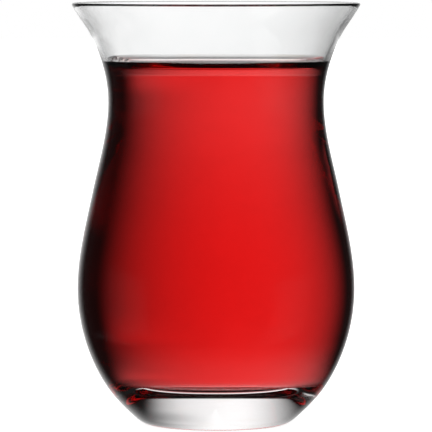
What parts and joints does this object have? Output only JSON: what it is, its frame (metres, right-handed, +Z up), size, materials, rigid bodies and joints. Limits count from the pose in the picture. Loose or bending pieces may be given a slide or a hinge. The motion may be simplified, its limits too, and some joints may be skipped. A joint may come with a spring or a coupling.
{
  "type": "turkish tea glass",
  "caption": "Tulip-shaped clear glass with a flared rim, narrow waist, full belly and thick foot, filled with red-brown black tea.",
  "frame": {"origin": "middle of the foot's underside, on the surface that the glass stands on", "axes": "+Z up along the axis that the glass is turned about; the glass is the same all round, so +X and +Y are free"},
  "size_m": [0.0614, 0.0614, 0.09],
  "materials": {
    "clear_glass": "clear, smooth pressed glass",
    "black_tea": "clear red-brown liquid, near black where it is seen through its longest way"
  },
  "bodies": {
    "root": {"glass": "clear_glass", "tea": "black_tea"}
  },
  "joints": []
}
